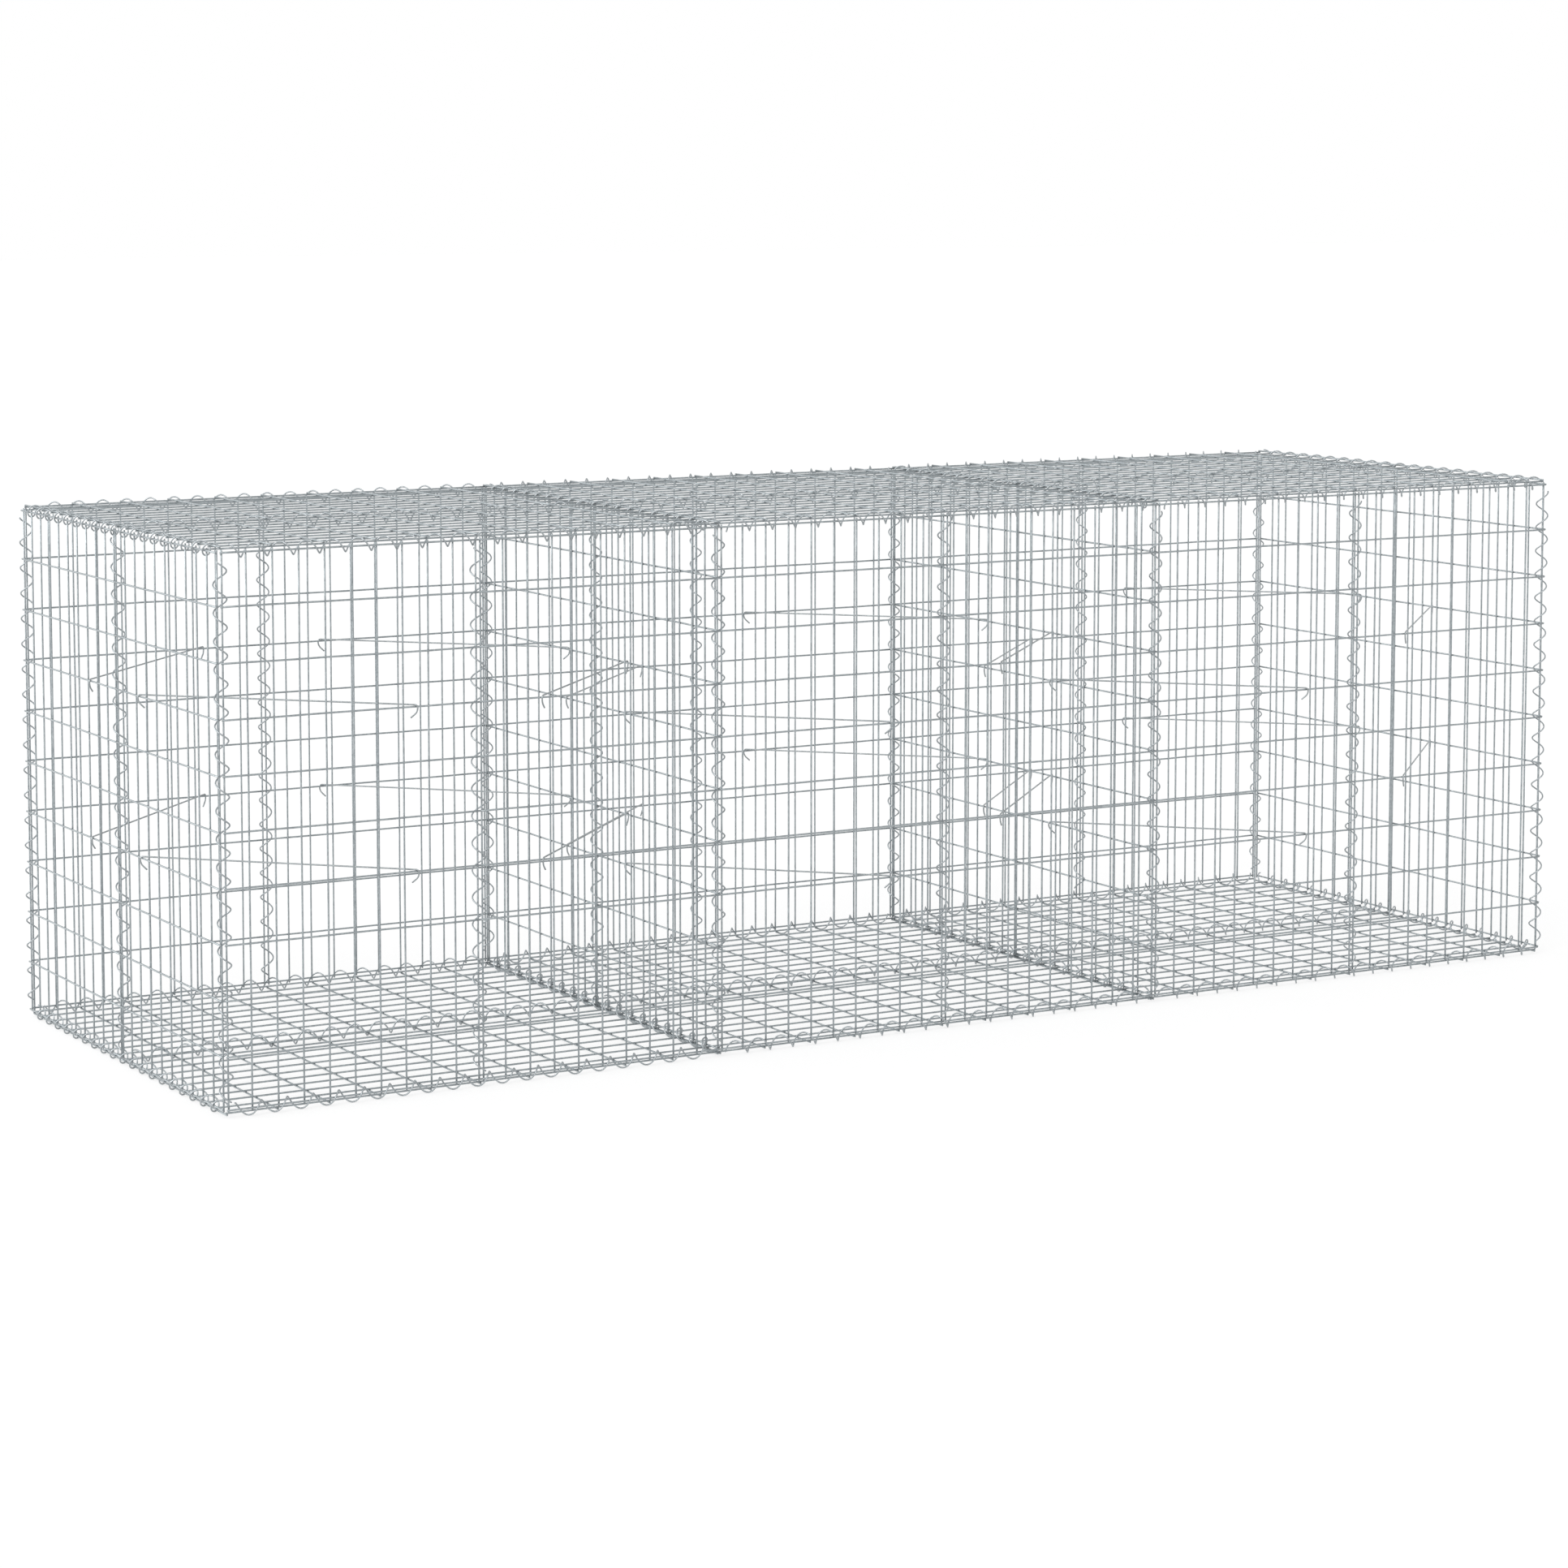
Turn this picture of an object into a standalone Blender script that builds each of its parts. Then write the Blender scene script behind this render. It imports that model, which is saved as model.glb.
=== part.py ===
"""Gabion basket of welded steel mesh, three compartments in a row, closed and empty.

Metres, +Z up. X runs along the basket, Y from its front to its back. The origin is on the ground
under its centre. The walls stand just outside a nominal box, the dividers inside it, and each
outer edge of the box is laced by spirals that pass round the border bars of both its walls.
"""

import math

import bpy
from mathutils import Matrix, Vector

# Nominal box, inside the walls
COMPARTMENTS = 3
COMPARTMENT_LENGTH = 1.0
DEPTH = 1.0
HEIGHT = 1.0

# Welded mesh
CELL_LENGTH = 0.1
CELL_WIDTH = 0.05
MESH_WIRE = 0.0035

# Lacing spirals. These are wound to the left, and all the others to the right
SPIRAL_WIRE = 0.003
LEFT_HANDED = (
    "base_front_spiral_1",
    "base_back_spiral_2",
    "base_back_spiral_3",
    "base_left_spiral",
    "lid_back_spiral_2",
    "lid_back_spiral_3",
    "lid_left_spiral",
    "lid_right_spiral",
    "front_left_corner_spiral",
    "back_right_corner_spiral",
)

# Corner ties: straight wires across the corners of each compartment, hooked over the walls
TIE_WIRE = 0.003
TIE_REACH = 0.36
TIE_TAIL = 0.028
TIE_BEND = 0.001
TIE_UPPER_HEIGHT = 0.7
TIE_LOWER_HEIGHT = 0.4

# Gap between pieces that touch
SEAT_GAP = 0.0003
# How far a welded wire runs into the border bar
WELD_DEPTH = 0.001

GALVANISED = {"colour": (0.50, 0.53, 0.55, 1.0), "roughness": 0.42, "metallic": 0.85}
SPIRAL_STEEL = {"colour": (0.56, 0.59, 0.61, 1.0), "roughness": 0.36, "metallic": 0.85}
TIE_STEEL = {"colour": (0.53, 0.56, 0.58, 1.0), "roughness": 0.38, "metallic": 0.85}

# A panel has its long wires in one layer and its cross wires in the next, further out
LAYER_STEP = MESH_WIRE + SEAT_GAP
PANEL_THICKNESS = LAYER_STEP + MESH_WIRE
WALL_OUTSIDE = SEAT_GAP + PANEL_THICKNESS

# Section of a spiral, measured outwards from the edge of the nominal box along both walls
SPIRAL_FLAT = WALL_OUTSIDE + SEAT_GAP + SPIRAL_WIRE / 2
SPIRAL_INNER_SUM = MESH_WIRE + (SEAT_GAP + SPIRAL_WIRE / 2) * math.sqrt(2)
SPIRAL_REACH = SPIRAL_FLAT + SPIRAL_INNER_SUM
SPIRAL_OUTSIDE = SPIRAL_FLAT + SPIRAL_WIRE / 2

LENGTH = COMPARTMENTS * COMPARTMENT_LENGTH
BASE_HEIGHT = SPIRAL_OUTSIDE
MID_HEIGHT = BASE_HEIGHT + HEIGHT / 2
TOP_HEIGHT = BASE_HEIGHT + HEIGHT

X = Vector((1, 0, 0))
Y = Vector((0, 1, 0))
Z = Vector((0, 0, 1))


def clear_scene():
    for old in list(bpy.data.objects):
        bpy.data.objects.remove(old, do_unlink=True)


def make_material(name, look):
    material = bpy.data.materials.new(name)
    material.use_nodes = True
    shader = material.node_tree.nodes["Principled BSDF"]
    shader.inputs["Base Color"].default_value = look["colour"]
    shader.inputs["Roughness"].default_value = look["roughness"]
    shader.inputs["Metallic"].default_value = look["metallic"]
    return material


def add_object(name, data, look, place=None):
    made = bpy.data.objects.new(name, data)
    bpy.context.scene.collection.objects.link(made)
    made.data.materials.clear()
    made.data.materials.append(None)
    made.material_slots[0].link = "OBJECT"
    made.material_slots[0].material = make_material(name, look)
    if place is not None:
        made.matrix_world = place
    return made


def axes_at(origin, first, second, third):
    """Placing matrix with the three directions as its local X, Y and Z."""
    turned = Matrix((first, second, third)).transposed().to_4x4()
    return Matrix.Translation(origin) @ turned


def cells_along(side):
    """Mesh cells along a side, counted by their length."""
    return max(2, round(side / CELL_LENGTH))


def cells_across(side):
    """Mesh cells along a side, counted by their width. Whole widths make up each length."""
    return cells_along(side) * max(1, round(CELL_LENGTH / CELL_WIDTH))


def narrow_pitch(side):
    """Spacing of wires that stand a cell's width apart, fitted to the side."""
    return side / cells_across(side)


def mesh_from(name, vertices, faces):
    mesh = bpy.data.meshes.new(name)
    mesh.from_pydata(vertices, [], faces)
    mesh.update()
    return mesh


def prism(start, end, corners):
    """Straight bar between two points, its section given as offsets in order round the run."""
    count = len(corners)
    vertices = [start + corner for corner in corners] + [end + corner for corner in corners]
    sides = [(i, (i + 1) % count, (i + 1) % count + count, i + count) for i in range(count)]
    caps = [tuple(reversed(range(count))), tuple(range(count, 2 * count))]
    return vertices, sides + caps


def join_shapes(shapes):
    vertices, faces = [], []
    for shape_vertices, shape_faces in shapes:
        offset = len(vertices)
        vertices += shape_vertices
        faces += [tuple(index + offset for index in face) for face in shape_faces]
    return vertices, faces


def border_ring(width, height):
    """Border bars of a panel: two wires deep, one wire wide."""
    outer = [(-1, -1), (1, -1), (1, 1), (-1, 1)]
    vertices = []
    for level in (0, PANEL_THICKNESS):
        for inset in (0, MESH_WIRE):
            for side_x, side_y in outer:
                across = side_x * (width / 2 - inset)
                along = side_y * (height / 2 - inset)
                vertices.append(Vector((across, along, level)))
    faces = []
    for i in range(4):
        j = (i + 1) % 4
        faces.append((i, i + 4, j + 4, j))
        faces.append((i + 8, j + 8, j + 12, i + 12))
        faces.append((i, j, j + 8, i + 8))
        faces.append((i + 4, i + 12, j + 12, j + 4))
    return vertices, faces


def long_wire(across, height):
    """Wire of the inner layer, along local Y. Its flat side faces the cross wires."""
    half = MESH_WIRE / 2
    inside = height / 2 - MESH_WIRE
    start = Vector((across, -inside - WELD_DEPTH, 0))
    end = Vector((across, inside - SEAT_GAP, 0))
    corners = [
        Vector((-half, 0, MESH_WIRE)),
        Vector((half, 0, MESH_WIRE)),
        Vector((0, 0, 0)),
    ]
    return prism(start, end, corners)


def cross_wire(along, width):
    """Wire of the outer layer, along local X. Its flat side faces the long wires."""
    half = MESH_WIRE / 2
    inside = width / 2 - MESH_WIRE
    start = Vector((-inside - WELD_DEPTH, along, LAYER_STEP))
    end = Vector((inside - SEAT_GAP, along, LAYER_STEP))
    corners = [
        Vector((0, half, 0)),
        Vector((0, 0, MESH_WIRE)),
        Vector((0, -half, 0)),
    ]
    return prism(start, end, corners)


def panel_wires(across_side, along_side):
    """All wires inside the border, with two border wires side by side at the middle seam."""
    width = across_side - SEAT_GAP
    height = along_side - SEAT_GAP
    pitch = narrow_pitch(across_side)
    half_count = cells_across(across_side) // 2
    seam = (MESH_WIRE + SEAT_GAP) / 2
    shapes = []
    for side in (-1, 1):
        shapes.append(long_wire(side * seam, height))
        for step in range(1, half_count):
            shapes.append(long_wire(side * step * pitch, height))
    cells = cells_along(along_side)
    for step in range(1, cells):
        shapes.append(cross_wire(along_side * (step / cells - 0.5), width))
    return join_shapes(shapes)


def panel_mesh(name, across_side, along_side):
    """A wall's mesh: the border ring with its wires welded on by a union."""
    ring = mesh_from(name, *border_ring(across_side - SEAT_GAP, along_side - SEAT_GAP))
    wires = mesh_from(name + "_wires", *panel_wires(across_side, along_side))
    body = bpy.data.objects.new(name, ring)
    tool = bpy.data.objects.new(name + "_wires", wires)
    for item in (body, tool):
        bpy.context.scene.collection.objects.link(item)
    weld = body.modifiers.new("weld", "BOOLEAN")
    weld.operation = "UNION"
    weld.solver = "EXACT"
    weld.object = tool
    bpy.context.view_layer.update()
    graph = bpy.context.evaluated_depsgraph_get()
    welded = bpy.data.meshes.new_from_object(body.evaluated_get(graph))
    welded.name = name
    for item in (body, tool):
        bpy.data.objects.remove(item, do_unlink=True)
    return welded


def add_walls():
    front_mesh = panel_mesh("front_mesh", COMPARTMENT_LENGTH, HEIGHT)
    end_mesh = panel_mesh("end_mesh", DEPTH, HEIGHT)
    flat_mesh = panel_mesh("flat_mesh", DEPTH, COMPARTMENT_LENGTH)
    for number in range(1, COMPARTMENTS + 1):
        middle = (number - 0.5) * COMPARTMENT_LENGTH - LENGTH / 2
        front = Vector((middle, -DEPTH / 2 - SEAT_GAP, MID_HEIGHT))
        back = Vector((middle, DEPTH / 2 + SEAT_GAP, MID_HEIGHT))
        base = Vector((middle, 0, BASE_HEIGHT - SEAT_GAP))
        lid = Vector((middle, 0, TOP_HEIGHT + SEAT_GAP))
        add_object(f"front_panel_{number}", front_mesh, GALVANISED, axes_at(front, X, Z, -Y))
        add_object(f"back_panel_{number}", front_mesh, GALVANISED, axes_at(back, -X, Z, Y))
        add_object(f"base_panel_{number}", flat_mesh, GALVANISED, axes_at(base, Y, X, -Z))
        add_object(f"lid_panel_{number}", flat_mesh, GALVANISED, axes_at(lid, -Y, X, Z))
    left = Vector((-LENGTH / 2 - SEAT_GAP, 0, MID_HEIGHT))
    right = Vector((LENGTH / 2 + SEAT_GAP, 0, MID_HEIGHT))
    add_object("left_end_panel", end_mesh, GALVANISED, axes_at(left, -Y, Z, -X))
    add_object("right_end_panel", end_mesh, GALVANISED, axes_at(right, Y, Z, X))
    for number in range(1, COMPARTMENTS):
        seam = number * COMPARTMENT_LENGTH - LENGTH / 2
        place = Vector((seam - PANEL_THICKNESS / 2, 0, MID_HEIGHT))
        add_object(f"divider_panel_{number}", end_mesh, GALVANISED, axes_at(place, Y, Z, X))


def spiral_corners(offset):
    """The three turning points of a spiral, moved outwards by offset."""
    outer = SPIRAL_FLAT + offset
    reach = SPIRAL_REACH - SPIRAL_FLAT + offset * math.sqrt(2)
    inner = -reach - outer
    return [(inner, outer), (outer, inner), (outer, outer)]


def spiral_mesh(name, side):
    """Right-handed spiral of three-sided wire along local Z, centred on an edge of the box.

    Its first and last turns start half a cell in from the edge's ends, or whole cells further
    where the spirals of the other edges need the room.
    """
    pitch = narrow_pitch(side)
    skipped = max(0, math.ceil((SPIRAL_REACH + SPIRAL_WIRE) / pitch - 0.5))
    turns = cells_across(side) - 1 - 2 * skipped
    half = SPIRAL_WIRE / 2
    outside = spiral_corners(half)
    inside = spiral_corners(-half)
    vertices = []
    for step in range(3 * turns + 1):
        run = (step / 3 - turns / 2) * pitch
        out_u, out_v = outside[step % 3]
        in_u, in_v = inside[step % 3]
        vertices.append((out_u, out_v, run - half))
        vertices.append((out_u, out_v, run + half))
        vertices.append((in_u, in_v, run))
    faces = [(0, 1, 2)]
    for step in range(3 * turns):
        here = 3 * step
        for i in range(3):
            j = (i + 1) % 3
            faces.append((here + i, here + 3 + i, here + 3 + j, here + j))
    last = 9 * turns
    faces.append((last, last + 2, last + 1))
    return mesh_from(name, vertices, faces)


def spiral_pair(name, side):
    """The right-handed spiral for a side, and its mirror image, which is left-handed."""
    right = spiral_mesh(name, side)
    left = right.copy()
    left.name = name + "_left"
    left.transform(Matrix.Diagonal((1, 1, -1, 1)))
    left.flip_normals()
    return right, left


def add_spiral(name, pair, middle, first_wall, second_wall):
    """Place a spiral on the edge where the walls with these outward directions meet."""
    run = first_wall.cross(second_wall)
    right, left = pair
    mesh = left if name in LEFT_HANDED else right
    add_object(name, mesh, SPIRAL_STEEL, axes_at(middle, first_wall, second_wall, run))


def add_spirals():
    lengthwise = spiral_pair("lengthwise_spiral", COMPARTMENT_LENGTH)
    crosswise = spiral_pair("crosswise_spiral", DEPTH)
    upright = spiral_pair("upright_spiral", HEIGHT)
    levels = (("base", BASE_HEIGHT, -Z), ("lid", TOP_HEIGHT, Z))
    faces = (("front", -DEPTH / 2, -Y), ("back", DEPTH / 2, Y))
    ends = (("left", -LENGTH / 2, -X), ("right", LENGTH / 2, X))
    for level_name, height, level_out in levels:
        for face_name, y, face_out in faces:
            for number in range(1, COMPARTMENTS + 1):
                middle = Vector(((number - 0.5) * COMPARTMENT_LENGTH - LENGTH / 2, y, height))
                name = f"{level_name}_{face_name}_spiral_{number}"
                add_spiral(name, lengthwise, middle, face_out, level_out)
        for end_name, x, end_out in ends:
            name = f"{level_name}_{end_name}_spiral"
            add_spiral(name, crosswise, Vector((x, 0, height)), end_out, level_out)
    for face_name, y, face_out in faces:
        for end_name, x, end_out in ends:
            name = f"{face_name}_{end_name}_corner_spiral"
            add_spiral(name, upright, Vector((x, y, MID_HEIGHT)), face_out, end_out)


def cell_middle(side):
    """Distance from a corner, close to the reach of a tie, that is midway between two wires."""
    pitch = narrow_pitch(side)
    return (math.floor(TIE_REACH / pitch) + 0.5) * pitch


def tie_rest_height(wanted):
    """Height of a tie's middle line when it lies on the cross wire nearest to a height."""
    cells = cells_along(HEIGHT)
    wire = round(wanted / HEIGHT * cells)
    return wire, HEIGHT / cells


def tie_points(at_face, face_out, at_end, end_out, height):
    """Middle line of a tie, from one hook's tip over both cross wires to the other tip.

    at_face and at_end are where it crosses the outsides of the cross wires, in plan.
    """
    top = height + (MESH_WIRE + TIE_WIRE) / 2 + SEAT_GAP
    drop = SEAT_GAP + TIE_WIRE / 2
    points = []
    for crossing, out in ((at_face, face_out), (at_end, end_out)):
        tail = crossing + out * drop
        tip = Vector((tail.x, tail.y, height - TIE_TAIL))
        turn = Vector((tail.x, tail.y, top - TIE_BEND))
        over = Vector((tail.x, tail.y, top)) - out * TIE_BEND
        points.append([tip, turn, over])
    return points[0] + list(reversed(points[1]))


def add_tie(name, points):
    curve = bpy.data.curves.new(name, "CURVE")
    curve.dimensions = "3D"
    curve.bevel_depth = TIE_WIRE / 2
    curve.bevel_resolution = 0
    curve.use_fill_caps = True
    spline = curve.splines.new("POLY")
    spline.points.add(len(points) - 1)
    for spot, point in zip(spline.points, points):
        spot.co = (*point, 1)
    add_object(name, curve, TIE_STEEL)


def add_ties():
    """Eight ties in each compartment. Right of a divider they lie one cross wire lower."""
    for number in range(1, COMPARTMENTS + 1):
        low_x = (number - 1) * COMPARTMENT_LENGTH - LENGTH / 2
        high_x = low_x + COMPARTMENT_LENGTH
        for face_name, y, face_out in (("front", -DEPTH / 2, -Y), ("back", DEPTH / 2, Y)):
            for end_name, x, end_out in (("left", low_x, -X), ("right", high_x, X)):
                shared = end_name == "left" and number > 1
                face_x = x - end_out.x * cell_middle(COMPARTMENT_LENGTH)
                end_y = y - face_out.y * cell_middle(DEPTH)
                at_face = Vector((face_x, y + face_out.y * WALL_OUTSIDE, 0))
                at_end = Vector((end_cross_outside(number, end_name, x, end_out), end_y, 0))
                for level, wanted in (("upper", TIE_UPPER_HEIGHT), ("lower", TIE_LOWER_HEIGHT)):
                    wire, step = tie_rest_height(wanted)
                    height = BASE_HEIGHT + (wire - shared) * step
                    points = tie_points(at_face, face_out, at_end, end_out, height)
                    add_tie(f"{face_name}_{end_name}_{level}_tie_{number}", points)


def end_cross_outside(number, end_name, x, end_out):
    """Where a tie's hook turns down behind the cross wires of the end wall or divider."""
    if (number, end_name) in ((1, "left"), (COMPARTMENTS, "right")):
        return x + end_out.x * WALL_OUTSIDE
    wire_far_side = PANEL_THICKNESS / 2
    wire_near_side = PANEL_THICKNESS / 2 - MESH_WIRE
    return x + wire_far_side if end_out.x > 0 else x + wire_near_side


clear_scene()
add_walls()
add_spirals()
add_ties()
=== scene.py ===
"""Looks of the gabion basket: round welded wires, lacing spirals and hooked corner ties.

Metres, +Z up, in the row frame. Every half-metre panel is its own mesh of long and cross wires
with a weld at each crossing. Spirals lace the panels along every edge and nearly every seam.
"""

import math
import random

import bpy
import numpy as np
from mathutils import Matrix, Vector


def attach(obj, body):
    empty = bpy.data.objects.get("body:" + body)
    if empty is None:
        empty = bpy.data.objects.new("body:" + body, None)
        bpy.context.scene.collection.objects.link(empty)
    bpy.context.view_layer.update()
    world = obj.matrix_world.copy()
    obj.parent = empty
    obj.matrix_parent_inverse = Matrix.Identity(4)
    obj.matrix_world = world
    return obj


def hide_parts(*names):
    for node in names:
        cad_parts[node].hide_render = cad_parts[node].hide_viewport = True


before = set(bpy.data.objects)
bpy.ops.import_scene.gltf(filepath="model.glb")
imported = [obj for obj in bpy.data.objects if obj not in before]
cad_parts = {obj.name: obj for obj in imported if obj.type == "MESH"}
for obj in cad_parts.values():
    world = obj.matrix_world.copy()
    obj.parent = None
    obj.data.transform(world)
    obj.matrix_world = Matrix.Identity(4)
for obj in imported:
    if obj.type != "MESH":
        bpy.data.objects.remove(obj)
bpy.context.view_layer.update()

# Nominal box, inside the walls, and the gap at which pieces lie on each other
COMPARTMENTS = 3
COMPARTMENT_LENGTH = 1.0
DEPTH = 1.0
HEIGHT = 1.0
BASE_HEIGHT = 0.0109
SEAT_GAP = 0.0003

# Half-metre panels, as thick as in the solids, which is a little more than their two wires
PANEL_WIDTH = 0.5
PANEL_LENGTH = 1.0
PANEL_THICKNESS = 0.0073

# Wires of a panel: long ones in its inner layer and cross ones welded on outside them, which in a
# divider is right of them
MESH_WIRE = 0.0035
CELL_LENGTH = 0.1
CELL_WIDTH = 0.05
WELD_SINK = 0.00025
LONG_LAYER = MESH_WIRE / 2
CROSS_LAYER = LONG_LAYER + MESH_WIRE - WELD_SINK

# How far each wire inside a panel strays from its line, from point to point
WIRE_WAVE = 0.0003
WAVE_SEED = 7

# How far the border wires' middle lines lie in from the panel's edge. The crossing wires run on
# past them as short stubs, and the seam between two panels stays a little open. The base, the
# lid and the dividers take the smaller inset, which leaves room for the spirals at the dividers
BORDER_INSET = 0.0027
WALL_BORDER_INSET = 0.0045

# Weld bead at each crossing, and its outline from bottom to top in shares of these two sizes
WELD_RADIUS = 0.0021
WELD_HALF_HEIGHT = 0.0011
WELD_PROFILE = ((0.45, -1.0), (1.0, -0.35), (1.0, 0.35), (0.45, 1.0))

# Cut end of a wire, in shares of its radius: how long the rounding is and how thick the cut
CUT_ROUNDING = 0.25
CUT_RADIUS = 0.72

# Lacing spirals, which stand out from the walls as far as the basket's feet are high
SPIRAL_WIRE = 0.003
SPIRAL_RADIUS = 0.012
SPIRAL_PITCH = 0.05
SPIRAL_INSET = SPIRAL_RADIUS + SPIRAL_WIRE / 2 - BASE_HEIGHT
SPIRAL_END_GAP = 0.019

# How a spiral is wound: its hand, and how far past a wire it points straight out of its second
# wall, or of its seam, as a share of a turn. One that isn't named is right-handed, at a share
# that keeps it clear of the wires it passes between
RIGHT = 1
LEFT = -1
SHARE_AT_SEAM = 0.47
SHARE_AT_TEE = 0.39
WINDING = {
    "base_front_spiral_1": (LEFT, 0.86),
    "base_front_spiral_2": (RIGHT, 0.26),
    "base_front_spiral_3": (RIGHT, 0.25),
    "base_back_spiral_1": (RIGHT, 0.75),
    "base_back_spiral_2": (LEFT, 0.25),
    "base_back_spiral_3": (LEFT, 0.2),
    "base_left_spiral": (LEFT, 0.14),
    "base_right_spiral": (RIGHT, 0.06),
    "base_middle_spiral_1": (RIGHT, 0.98),
    "base_middle_spiral_2": (RIGHT, 0.98),
    "base_middle_spiral_3": (RIGHT, 0.98),
    "base_divider_spiral_1": (RIGHT, 0.66),
    "base_divider_spiral_2": (LEFT, 0.34),
    "lid_front_spiral_1": (RIGHT, 0.36),
    "lid_front_spiral_2": (RIGHT, 0.86),
    "lid_front_spiral_3": (RIGHT, 0.9),
    "lid_back_spiral_1": (RIGHT, 0.25),
    "lid_back_spiral_2": (LEFT, 0.75),
    "lid_back_spiral_3": (LEFT, 0.75),
    "lid_left_spiral": (LEFT, 0.75),
    "lid_right_spiral": (LEFT, 0.62),
    "lid_divider_spiral_1": (LEFT, 0.66),
    "lid_divider_spiral_2": (LEFT, 0.34),
    "front_left_corner_spiral": (LEFT, 0.7),
    "front_right_corner_spiral": (RIGHT, 0.7),
    "back_left_corner_spiral": (RIGHT, 0.7),
    "back_right_corner_spiral": (LEFT, 0.66),
    "front_middle_spiral_1": (LEFT, SHARE_AT_SEAM),
    "back_middle_spiral_2": (LEFT, SHARE_AT_SEAM),
    "back_middle_spiral_3": (LEFT, SHARE_AT_SEAM),
    "front_divider_spiral_1": (LEFT, SHARE_AT_TEE),
    "back_divider_spiral_2": (LEFT, SHARE_AT_TEE),
    "left_end_middle_spiral": (LEFT, SHARE_AT_SEAM),
    "divider_middle_spiral": (LEFT, 0.04),
}

# Corner ties, which reach equally far along both walls, lie on cross wires and end in hooks
TIE_WIRE = 0.003
TIE_REACH = 0.375
TIE_BEND = 0.0055
TIE_CURL = math.radians(50)
TIE_CURL_RADIUS = 0.016
TIE_TIP = 0.01
TIE_HEIGHTS = {"upper": 0.7, "lower": 0.4}
TIE_DROP_RIGHT_OF_DIVIDER = 0.1
WALL_OUTSIDE = SEAT_GAP + PANEL_THICKNESS

# Zinc of each material: its pale and its dark tone, its roughness and the scale of its spangle
ZINC = {
    "mesh_wire": ((0.41, 0.445, 0.46), (0.28, 0.31, 0.325), 0.42, 260.0),
    "spiral_wire": ((0.43, 0.46, 0.475), (0.31, 0.335, 0.35), 0.36, 320.0),
    "tie_wire": ((0.38, 0.41, 0.42), (0.27, 0.29, 0.30), 0.38, 320.0),
    "weld_spot": ((0.30, 0.32, 0.33), (0.18, 0.19, 0.20), 0.55, 500.0),
}
METALLIC = 0.85

# Mottle and spangle: the spangle's share in the colour, and the range of values that is used
MOTTLE_SCALE = 55.0
MOTTLE_DETAIL = 3.0
MOTTLE_ROUGHNESS = 0.6
SPANGLE_SHARE = 0.35
MIX_LOW = 0.3
MIX_HIGH = 0.7

# What the mottle adds to the roughness where it is low, and takes off where it is high
DULLER_BY = 0.12
SHINIER_BY = 0.08

# Fine grain, which is a bump only
GRAIN_SCALE = 900.0
GRAIN_DETAIL = 2.0
GRAIN_ROUGHNESS = 0.5
GRAIN_STRENGTH = 0.25
GRAIN_HEIGHT = 0.0002

# Camera, fitted to wire crossings in the photo: picture and focal length in pixels, sensor in
# millimetres, and how far the camera looks down and to the right in degrees
PHOTO_PIXELS = 1932
FOCAL_PIXELS = 4992.44
SENSOR_WIDTH = 36
CAMERA_SHIFT = -0.15
CAMERA_PLACE = (-4.17556, -7.08838, 1.68522)
CAMERA_DOWN = 5.4514
CAMERA_RIGHT = 30.085
CAMERA_CLIP_END = 200

# Lamps: direction round the basket from its front, height and softness in degrees, and strength.
# The two low ones brighten the upright wires and those that run away from the camera
LAMPS = (
    ("key", -50, 50, 30, 0.9),
    ("back_left", -127, 10, 50, 1.4),
    ("left", -88, 6, 60, 1.2),
)

# White studio, whose floor glows where it is seen, so that only a light shadow is left on it
WHITE = (1, 1, 1, 1)
WORLD_LIGHT = 0.8
FLOOR_COLOUR = (0.95, 0.95, 0.95, 1)
FLOOR_ROUGHNESS = 0.9
FLOOR_GLOW = 0.75
FLOOR_HALF_SIZE = 60.0
FLOOR_GAP = 0.0002

# Facets. They are set out from X instead of Z on a wire whose direction has more of Z than STEEP
WIRE_SIDES = 8
TIE_SIDES = 12
SPIRAL_STEPS = 20
BEND_STEPS = 8
SHARP_ANGLE = math.radians(50)
STEEP = 0.9

LENGTH = COMPARTMENTS * COMPARTMENT_LENGTH
MID_HEIGHT = BASE_HEIGHT + HEIGHT / 2
TOP_HEIGHT = BASE_HEIGHT + HEIGHT

X = Vector((1, 0, 0))
Y = Vector((0, 1, 0))
Z = Vector((0, 0, 1))

# Inner planes of the box, each with the way out through it
LEVELS = (("base", BASE_HEIGHT, -Z), ("lid", TOP_HEIGHT, Z))
FACES = (("front", -DEPTH / 2, -Y), ("back", DEPTH / 2, Y))
ENDS = (("left", -LENGTH / 2, -X), ("right", LENGTH / 2, X))


def compartment_middle(number):
    """X of the middle of a compartment, counted from 1."""
    return (number - 0.5) * COMPARTMENT_LENGTH - LENGTH / 2


def compartment_end(number):
    """X of the right end of a compartment, where a divider stands unless it is the last one."""
    return number * COMPARTMENT_LENGTH - LENGTH / 2


def axes_at(origin, first, second, third):
    """Placing matrix with the three directions as its local X, Y and Z."""
    turned = Matrix((first, second, third)).transposed().to_4x4()
    return Matrix.Translation(origin) @ turned


def node_maker(tree):
    """Function that adds a node to the tree, its inputs given as values or as sockets to link."""

    def make(kind, **inputs):
        node = tree.nodes.new(kind)
        for name, value in inputs.items():
            if isinstance(value, bpy.types.NodeSocket):
                tree.links.new(value, node.inputs[name])
            else:
                node.inputs[name].default_value = value
        return node

    return make


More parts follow.
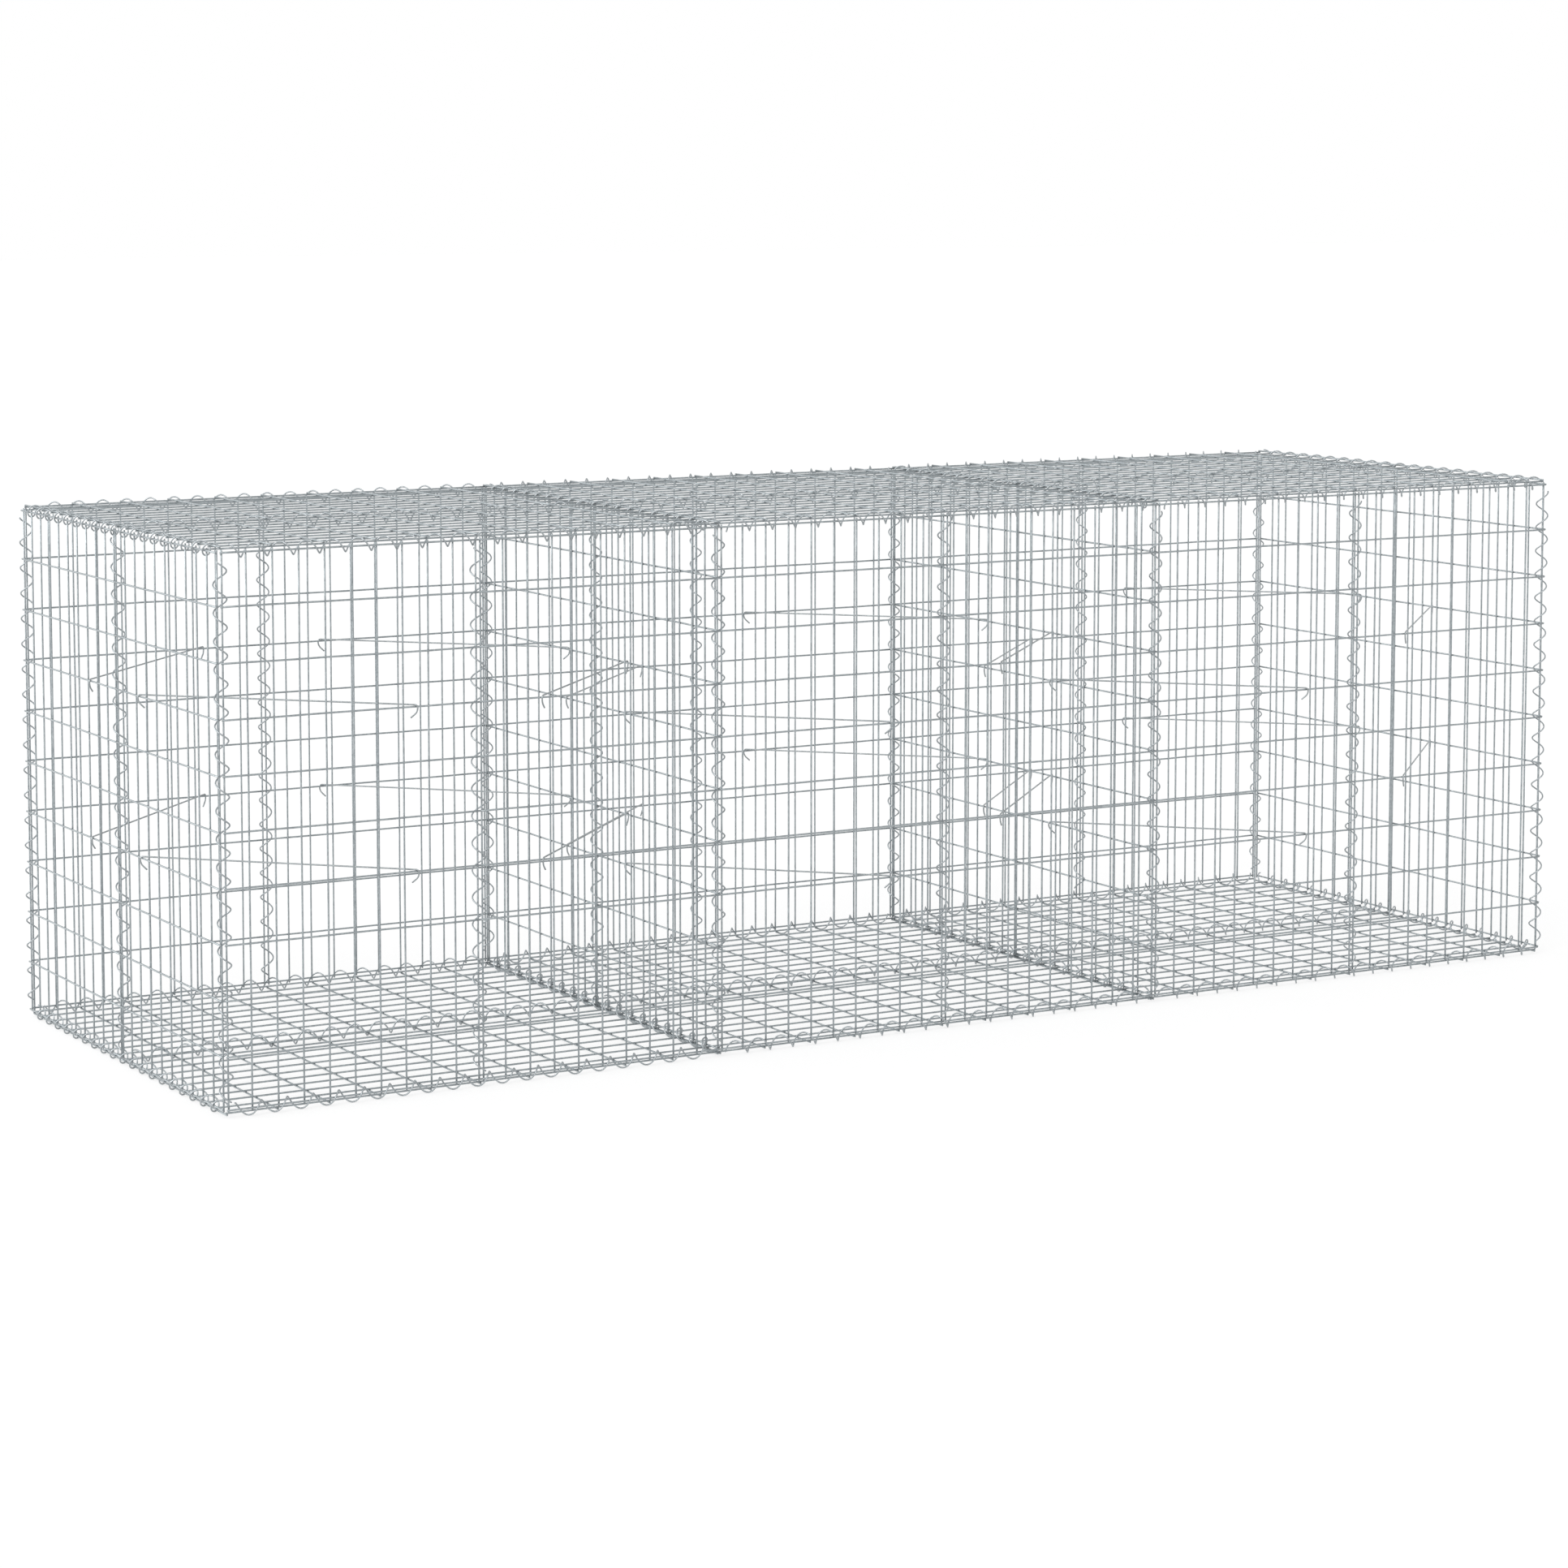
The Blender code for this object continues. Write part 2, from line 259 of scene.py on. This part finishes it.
def galvanised(name):
    """Drawn, hot-dip galvanised wire: mottled zinc with fine spangle, duller in patches."""
    pale, dark, roughness, spangle_scale = ZINC[name]
    material = bpy.data.materials.new(name)
    material.use_nodes = True
    tree = material.node_tree
    link = tree.links.new
    shader = tree.nodes["Principled BSDF"]
    make = node_maker(tree)
    place = tree.nodes.new("ShaderNodeTexCoord").outputs["Object"]

    mottle = make(
        "ShaderNodeTexNoise",
        Scale=MOTTLE_SCALE,
        Detail=MOTTLE_DETAIL,
        Roughness=MOTTLE_ROUGHNESS,
    )
    spangle = make("ShaderNodeTexVoronoi", Scale=spangle_scale, Randomness=1.0)
    grain = make(
        "ShaderNodeTexNoise",
        Scale=GRAIN_SCALE,
        Detail=GRAIN_DETAIL,
        Roughness=GRAIN_ROUGHNESS,
    )
    for texture in (mottle, spangle, grain):
        link(place, texture.inputs["Vector"])

    tone = tree.nodes.new("ShaderNodeMix")
    tone.data_type = "FLOAT"
    tone.inputs[0].default_value = SPANGLE_SHARE
    link(mottle.outputs["Fac"], tone.inputs[2])
    link(spangle.outputs["Color"], tone.inputs[3])
    ramp = tree.nodes.new("ShaderNodeValToRGB")
    ramp.color_ramp.elements[0].position = MIX_LOW
    ramp.color_ramp.elements[0].color = (*dark, 1)
    ramp.color_ramp.elements[1].position = MIX_HIGH
    ramp.color_ramp.elements[1].color = (*pale, 1)
    link(tone.outputs[0], ramp.inputs["Fac"])
    link(ramp.outputs["Color"], shader.inputs["Base Color"])

    spread = tree.nodes.new("ShaderNodeMapRange")
    spread.inputs["From Min"].default_value = MIX_LOW
    spread.inputs["From Max"].default_value = MIX_HIGH
    spread.inputs["To Min"].default_value = roughness + DULLER_BY
    spread.inputs["To Max"].default_value = roughness - SHINIER_BY
    link(mottle.outputs["Fac"], spread.inputs["Value"])
    link(spread.outputs["Result"], shader.inputs["Roughness"])

    bump = make("ShaderNodeBump", Strength=GRAIN_STRENGTH, Distance=GRAIN_HEIGHT)
    link(grain.outputs["Fac"], bump.inputs["Height"])
    link(bump.outputs["Normal"], shader.inputs["Normal"])
    shader.inputs["Metallic"].default_value = METALLIC
    return material


def circle(sides):
    """Cosines and sines of points spaced evenly round a circle."""
    turns = np.arange(sides) * 2 * math.pi / sides
    return np.cos(turns), np.sin(turns)


def ring_frames(path):
    """Two directions square to the path at each of its points, turned as little as possible."""
    along = np.gradient(path, axis=0)
    along /= np.linalg.norm(along, axis=1)[:, None]
    start = X if abs(along[0][2]) >= STEEP else Z
    side = np.cross(along[0], start)
    sides = []
    for direction in along:
        side = side - direction * side.dot(direction)
        side /= np.linalg.norm(side)
        sides.append(side)
    sides = np.array(sides)
    return sides, np.cross(along, sides)


class Shape:
    """Vertices and faces of one piece, put together from several bodies."""

    def __init__(self):
        self.vertices = []
        self.faces = []
        self.slots = []
        self.count = 0

    def add_rings(self, rings, slot=0):
        """A closed body through rings of points, capped at both ends."""
        rings = np.asarray(rings)
        steps, sides = rings.shape[:2]
        first = self.count
        for step in range(steps - 1):
            low = first + step * sides
            for i in range(sides):
                j = (i + 1) % sides
                self.faces.append((low + i, low + j, low + sides + j, low + sides + i))
        self.faces.append(tuple(first + i for i in reversed(range(sides))))
        last = first + (steps - 1) * sides
        self.faces.append(tuple(last + i for i in range(sides)))
        self.slots += [slot] * (len(self.faces) - len(self.slots))
        self.vertices += rings.reshape(-1, 3).tolist()
        self.count += steps * sides

    def add_tube(self, path, radius, sides):
        """A wire along a path, its two cut ends slightly rounded."""
        path = np.asarray(path, float)
        ends = []
        for here, towards in ((path[0], path[1]), (path[-1], path[-2])):
            step = towards - here
            ends.append(here + step / np.linalg.norm(step) * radius * CUT_ROUNDING)
        path = np.vstack([path[:1], ends[0], path[1:-1], ends[1], path[-1:]])
        radii = np.full(len(path), radius)
        radii[[0, -1]] = radius * CUT_RADIUS
        first, second = ring_frames(path)
        cosines, sines = circle(sides)
        rings = path[:, None, :] + radii[:, None, None] * (
            cosines[None, :, None] * first[:, None, :] + sines[None, :, None] * second[:, None, :]
        )
        self.add_rings(rings)

    def add_weld(self, centre, slot):
        """A flattened bead between two crossing wires."""
        cosines, sines = circle(WIRE_SIDES)
        rings = []
        for width, lift in WELD_PROFILE:
            ring = np.stack([cosines, sines, np.zeros_like(cosines)], axis=1)
            ring = ring * WELD_RADIUS * width
            ring[:, 2] = lift * WELD_HALF_HEIGHT
            rings.append(ring + centre)
        self.add_rings(rings, slot)


def add_piece(name, shape, place, materials, replaced=None):
    """Make the piece, with its points in the row frame, and let it ride on the basket."""
    mesh = bpy.data.meshes.new(name)
    mesh.from_pydata(shape.vertices, [], shape.faces)
    if place is not None:
        mesh.transform(place)
    mesh.polygons.foreach_set("material_index", shape.slots)
    mesh.shade_smooth()
    mesh.set_sharp_from_angle(angle=SHARP_ANGLE)
    mesh.update()
    for material in materials:
        mesh.materials.append(material)
    piece = bpy.data.objects.new(name, mesh)
    bpy.context.scene.collection.objects.link(piece)
    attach(piece, "root")
    if replaced:
        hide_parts(replaced)


def spaced(span, cell, inset):
    """Places of the wires across a panel: the border wires and one at each cell's edge."""
    cells = round(span / cell)
    inner = [span * (i / cells - 0.5) for i in range(1, cells)]
    border = span / 2 - inset
    return [-border, *inner, border]


def panel_shape(middle, inset, rng):
    """Half-metre panel with long wires along local Y in the lower layer."""
    shape = Shape()
    across = spaced(PANEL_WIDTH, CELL_WIDTH, inset)
    along = spaced(PANEL_LENGTH, CELL_LENGTH, inset)
    reach_x = PANEL_WIDTH / 2 - SEAT_GAP / 2
    reach_y = PANEL_LENGTH / 2 - SEAT_GAP / 2
    for x in across:
        wave = 0 if abs(x) == across[-1] else WIRE_WAVE
        stops = [-reach_y, *along[1:-1], reach_y]
        path = [(middle + x + rng.uniform(-wave, wave), y, LONG_LAYER) for y in stops]
        shape.add_tube(path, MESH_WIRE / 2, WIRE_SIDES)
    for y in along:
        wave = 0 if abs(y) == along[-1] else WIRE_WAVE
        stops = [-reach_x, *across[1:-1], reach_x]
        path = [(middle + x, y + rng.uniform(-wave, wave), CROSS_LAYER) for x in stops]
        shape.add_tube(path, MESH_WIRE / 2, WIRE_SIDES)
    for x in across:
        for y in along:
            shape.add_weld((middle + x, y, (LONG_LAYER + CROSS_LAYER) / 2), 1)
    return shape


def add_panels(mesh_wire, weld):
    """Two half-metre panels in place of each panel of the solids."""
    walls = []
    for number in range(1, COMPARTMENTS + 1):
        middle = compartment_middle(number)
        front = Vector((middle, -DEPTH / 2 - SEAT_GAP, MID_HEIGHT))
        back = Vector((middle, DEPTH / 2 + SEAT_GAP, MID_HEIGHT))
        base = Vector((middle, 0, BASE_HEIGHT - SEAT_GAP))
        lid = Vector((middle, 0, TOP_HEIGHT + SEAT_GAP))
        walls.append((f"front_panel_{number}", axes_at(front, X, Z, -Y), WALL_BORDER_INSET))
        walls.append((f"back_panel_{number}", axes_at(back, -X, Z, Y), WALL_BORDER_INSET))
        walls.append((f"base_panel_{number}", axes_at(base, Y, X, -Z), BORDER_INSET))
        walls.append((f"lid_panel_{number}", axes_at(lid, -Y, X, Z), BORDER_INSET))
    left = Vector((-LENGTH / 2 - SEAT_GAP, 0, MID_HEIGHT))
    right = Vector((LENGTH / 2 + SEAT_GAP, 0, MID_HEIGHT))
    walls.append(("left_end_panel", axes_at(left, -Y, Z, -X), WALL_BORDER_INSET))
    walls.append(("right_end_panel", axes_at(right, Y, Z, X), WALL_BORDER_INSET))
    for number in range(1, COMPARTMENTS):
        divider = Vector((compartment_end(number) - PANEL_THICKNESS / 2, 0, MID_HEIGHT))
        walls.append((f"divider_panel_{number}", axes_at(divider, Y, Z, X), BORDER_INSET))

    rng = random.Random(WAVE_SEED)
    for node, place, inset in walls:
        for half, middle in (("a", -PANEL_WIDTH / 2), ("b", PANEL_WIDTH / 2)):
            shape = panel_shape(middle, inset, rng)
            add_piece(f"{node}_mesh_{half}", shape, place, (mesh_wire, weld), node)


def spiral_shape(hand, angle, run, share):
    """Spiral along local Z, which lies along run in the row frame.

    It points at the angle where it is the share of a turn past a wire, counted along +X, +Y or +Z.
    """
    way = 1 if sum(run) > 0 else -1
    shape = Shape()
    reach = COMPARTMENT_LENGTH / 2 - SPIRAL_END_GAP
    steps = round(2 * reach / SPIRAL_PITCH * SPIRAL_STEPS)
    rise = np.linspace(-reach, reach, steps + 1)
    turn = angle + hand * (rise / SPIRAL_PITCH - way * share) * 2 * math.pi
    path = np.stack([SPIRAL_RADIUS * np.cos(turn), SPIRAL_RADIUS * np.sin(turn), rise], axis=1)
    shape.add_tube(path, SPIRAL_WIRE / 2, WIRE_SIDES)
    return shape


def add_corner_spiral(node, middle, first_wall, second_wall, material):
    """Spiral on an edge of the box, round the border wires of both its walls."""
    run = first_wall.cross(second_wall)
    centre = middle - (first_wall + second_wall) * SPIRAL_INSET
    hand, share = WINDING[node]
    shape = spiral_shape(hand, math.pi / 2, run, share)
    place = axes_at(centre, first_wall, second_wall, run)
    add_piece(node + "_coil", shape, place, (material,), node)


def add_seam_spiral(name, middle, out, run, material, share=SHARE_AT_SEAM):
    """Spiral on a seam inside a face, sunk so far that it stands out no more than on an edge."""
    centre = middle - out * SPIRAL_INSET
    hand, share = WINDING.get(name, (RIGHT, share))
    shape = spiral_shape(hand, 0, run, share)
    place = axes_at(centre, out, run.cross(out), run)
    add_piece(name, shape, place, (material,))


def add_level_spirals(level, height, level_out, material):
    """Spirals round and across the base or the lid."""
    for number in range(1, COMPARTMENTS + 1):
        x = compartment_middle(number)
        for face, y, face_out in FACES:
            node = f"{level}_{face}_spiral_{number}"
            add_corner_spiral(node, Vector((x, y, height)), face_out, level_out, material)
        name = f"{level}_middle_spiral_{number}"
        add_seam_spiral(name, Vector((x, 0, height)), level_out, X, material)
    for end, x, end_out in ENDS:
        node = f"{level}_{end}_spiral"
        add_corner_spiral(node, Vector((x, 0, height)), end_out, level_out, material)
    for number in range(1, COMPARTMENTS):
        name = f"{level}_divider_spiral_{number}"
        middle = Vector((compartment_end(number), 0, height))
        add_seam_spiral(name, middle, level_out, Y, material, SHARE_AT_TEE)


def add_face_spirals(face, y, face_out, material):
    """Upright spirals of the front or the back."""
    for end, x, end_out in ENDS:
        node = f"{face}_{end}_corner_spiral"
        add_corner_spiral(node, Vector((x, y, MID_HEIGHT)), face_out, end_out, material)
    for number in range(1, COMPARTMENTS + 1):
        name = f"{face}_middle_spiral_{number}"
        middle = Vector((compartment_middle(number), y, MID_HEIGHT))
        add_seam_spiral(name, middle, face_out, Z, material)
    for number in range(1, COMPARTMENTS):
        name = f"{face}_divider_spiral_{number}"
        middle = Vector((compartment_end(number), y, MID_HEIGHT))
        add_seam_spiral(name, middle, face_out, Z, material, SHARE_AT_TEE)


def add_spirals(material):
    """All spirals. The right end and the right divider have none in their middles."""
    for level, height, level_out in LEVELS:
        add_level_spirals(level, height, level_out, material)
    for face, y, face_out in FACES:
        add_face_spirals(face, y, face_out, material)
    left_end = Vector((-LENGTH / 2, 0, MID_HEIGHT))
    add_seam_spiral("left_end_middle_spiral", left_end, -X, Z, material)
    divider = Vector((compartment_end(1) + SPIRAL_INSET, 0, MID_HEIGHT))
    add_seam_spiral("divider_middle_spiral", divider, X, Z, material)


def hook_profile():
    """Side view of a hook, from the run to its tip: how far back and how far down each point is."""
    points = []
    for step in range(BEND_STEPS + 1):
        angle = math.pi / 2 * step / BEND_STEPS
        points.append((TIE_BEND * (1 - math.sin(angle)), TIE_BEND * (1 - math.cos(angle))))
    for step in range(1, BEND_STEPS + 1):
        angle = TIE_CURL * step / BEND_STEPS
        back = TIE_CURL_RADIUS * (1 - math.cos(angle))
        points.append((back, TIE_BEND + TIE_CURL_RADIUS * math.sin(angle)))
    back, down = points[-1]
    points.append((back + TIE_TIP * math.sin(TIE_CURL), down + TIE_TIP * math.cos(TIE_CURL)))
    return points


def tie_path(at_face, at_end, height):
    """Middle line of a tie: a straight run between two hooks that turn down outside the walls."""
    top = height + (MESH_WIRE + TIE_WIRE) / 2 + SEAT_GAP
    run = (at_end - at_face).normalized()
    hooks = []
    for corner, inwards in ((at_face, run), (at_end, -run)):
        bend = Vector((corner.x, corner.y, top))
        hooks.append([bend + inwards * back - Z * down for back, down in hook_profile()])
    return list(reversed(hooks[0])) + hooks[1]


def end_outside(number, end, x, end_out):
    """X just past the cross wires of the end wall or divider, seen from inside the compartment."""
    if (number, end) in ((1, "left"), (COMPARTMENTS, "right")):
        return x + end_out.x * WALL_OUTSIDE
    cross_wires = x + CROSS_LAYER - PANEL_THICKNESS / 2
    return cross_wires + end_out.x * (PANEL_THICKNESS - CROSS_LAYER)


def add_ties(material):
    """An upper and a lower tie in each upright corner of each compartment."""
    drop = SEAT_GAP + TIE_WIRE / 2
    for number in range(1, COMPARTMENTS + 1):
        ends = (("left", compartment_end(number - 1), -X), ("right", compartment_end(number), X))
        for face, y, face_out in FACES:
            for end, x, end_out in ends:
                face_y = y + face_out.y * (WALL_OUTSIDE + drop)
                at_face = Vector((x - end_out.x * TIE_REACH, face_y, 0))
                end_x = end_outside(number, end, x, end_out) + end_out.x * drop
                at_end = Vector((end_x, y - face_out.y * TIE_REACH, 0))
                lower_by = TIE_DROP_RIGHT_OF_DIVIDER if end == "left" and number > 1 else 0
                for level, height in TIE_HEIGHTS.items():
                    path = tie_path(at_face, at_end, BASE_HEIGHT + height - lower_by)
                    node = f"{face}_{end}_{level}_tie_{number}"
                    shape = Shape()
                    shape.add_tube(path, TIE_WIRE / 2, TIE_SIDES)
                    add_piece(node + "_wire", shape, None, (material,), node)


def add_camera():
    """Camera at the photo's angle."""
    camera = bpy.data.cameras.new("camera")
    camera.sensor_width = SENSOR_WIDTH
    camera.lens = FOCAL_PIXELS / PHOTO_PIXELS * SENSOR_WIDTH
    camera.shift_y = CAMERA_SHIFT
    camera.clip_end = CAMERA_CLIP_END
    holder = bpy.data.objects.new("camera", camera)
    holder.location = CAMERA_PLACE
    holder.rotation_euler = (math.radians(90 - CAMERA_DOWN), 0, math.radians(-CAMERA_RIGHT))
    bpy.context.scene.collection.objects.link(holder)
    bpy.context.scene.camera = holder


def add_lamp(name, azimuth, elevation, softness, strength):
    """A broad soft lamp, so far off that it lights the floor evenly."""
    lamp = bpy.data.lights.new(name, "SUN")
    lamp.angle = math.radians(softness)
    lamp.energy = strength
    holder = bpy.data.objects.new(name, lamp)
    holder.rotation_euler = (math.radians(90 - elevation), 0, math.radians(azimuth))
    bpy.context.scene.collection.objects.link(holder)


def seen_rays(tree):
    """1 for the rays that see the studio, straight or in metal, and 0 for those that light."""
    path = tree.nodes.new("ShaderNodeLightPath")
    seen = path.outputs["Is Camera Ray"]
    for kind in ("Is Glossy Ray", "Is Transmission Ray"):
        either = tree.nodes.new("ShaderNodeMath")
        either.operation = "MAXIMUM"
        tree.links.new(seen, either.inputs[0])
        tree.links.new(path.outputs[kind], either.inputs[1])
        seen = either.outputs[0]
    return seen


def add_world():
    """White behind the basket, and a softer white all round to light it."""
    world = bpy.data.worlds.new("studio")
    world.use_nodes = True
    bpy.context.scene.world = world
    tree = world.node_tree
    tree.nodes.clear()
    make = node_maker(tree)
    seen = make("ShaderNodeBackground", Color=WHITE, Strength=1.0)
    light = make("ShaderNodeBackground", Color=WHITE, Strength=WORLD_LIGHT)
    mix = make("ShaderNodeMixShader", Fac=seen_rays(tree))
    out = make("ShaderNodeOutputWorld")
    tree.links.new(light.outputs[0], mix.inputs[1])
    tree.links.new(seen.outputs[0], mix.inputs[2])
    tree.links.new(mix.outputs[0], out.inputs["Surface"])


def floor_material():
    """Matt white, with a share of glow for the rays that see it."""
    material = bpy.data.materials.new("floor")
    material.use_nodes = True
    tree = material.node_tree
    make = node_maker(tree)
    shader = tree.nodes["Principled BSDF"]
    shader.inputs["Base Color"].default_value = FLOOR_COLOUR
    shader.inputs["Roughness"].default_value = FLOOR_ROUGHNESS
    shader.inputs["Specular IOR Level"].default_value = 0.0
    glow = make("ShaderNodeEmission", Color=WHITE, Strength=1.0)
    share = make("ShaderNodeMath", Value=seen_rays(tree))
    share.operation = "MULTIPLY"
    share.inputs[1].default_value = FLOOR_GLOW
    mix = make("ShaderNodeMixShader", Fac=share.outputs[0])
    tree.links.new(shader.outputs[0], mix.inputs[1])
    tree.links.new(glow.outputs[0], mix.inputs[2])
    tree.links.new(mix.outputs[0], tree.nodes["Material Output"].inputs["Surface"])
    return material


def add_floor():
    """White floor that keeps a light shadow of the basket."""
    mesh = bpy.data.meshes.new("floor")
    half = FLOOR_HALF_SIZE
    corners = [(-half, -half, 0), (half, -half, 0), (half, half, 0), (-half, half, 0)]
    mesh.from_pydata(corners, [], [(0, 1, 2, 3)])
    mesh.materials.append(floor_material())
    floor = bpy.data.objects.new("floor", mesh)
    floor.location.z = -FLOOR_GAP
    bpy.context.scene.collection.objects.link(floor)


def main():
    """Dress the basket, then set up the studio round it."""
    add_panels(galvanised("mesh_wire"), galvanised("weld_spot"))
    add_spirals(galvanised("spiral_wire"))
    add_ties(galvanised("tie_wire"))
    add_camera()
    add_world()
    add_floor()
    for lamp in LAMPS:
        add_lamp(*lamp)
    bpy.context.scene.view_settings.view_transform = "Standard"


main()
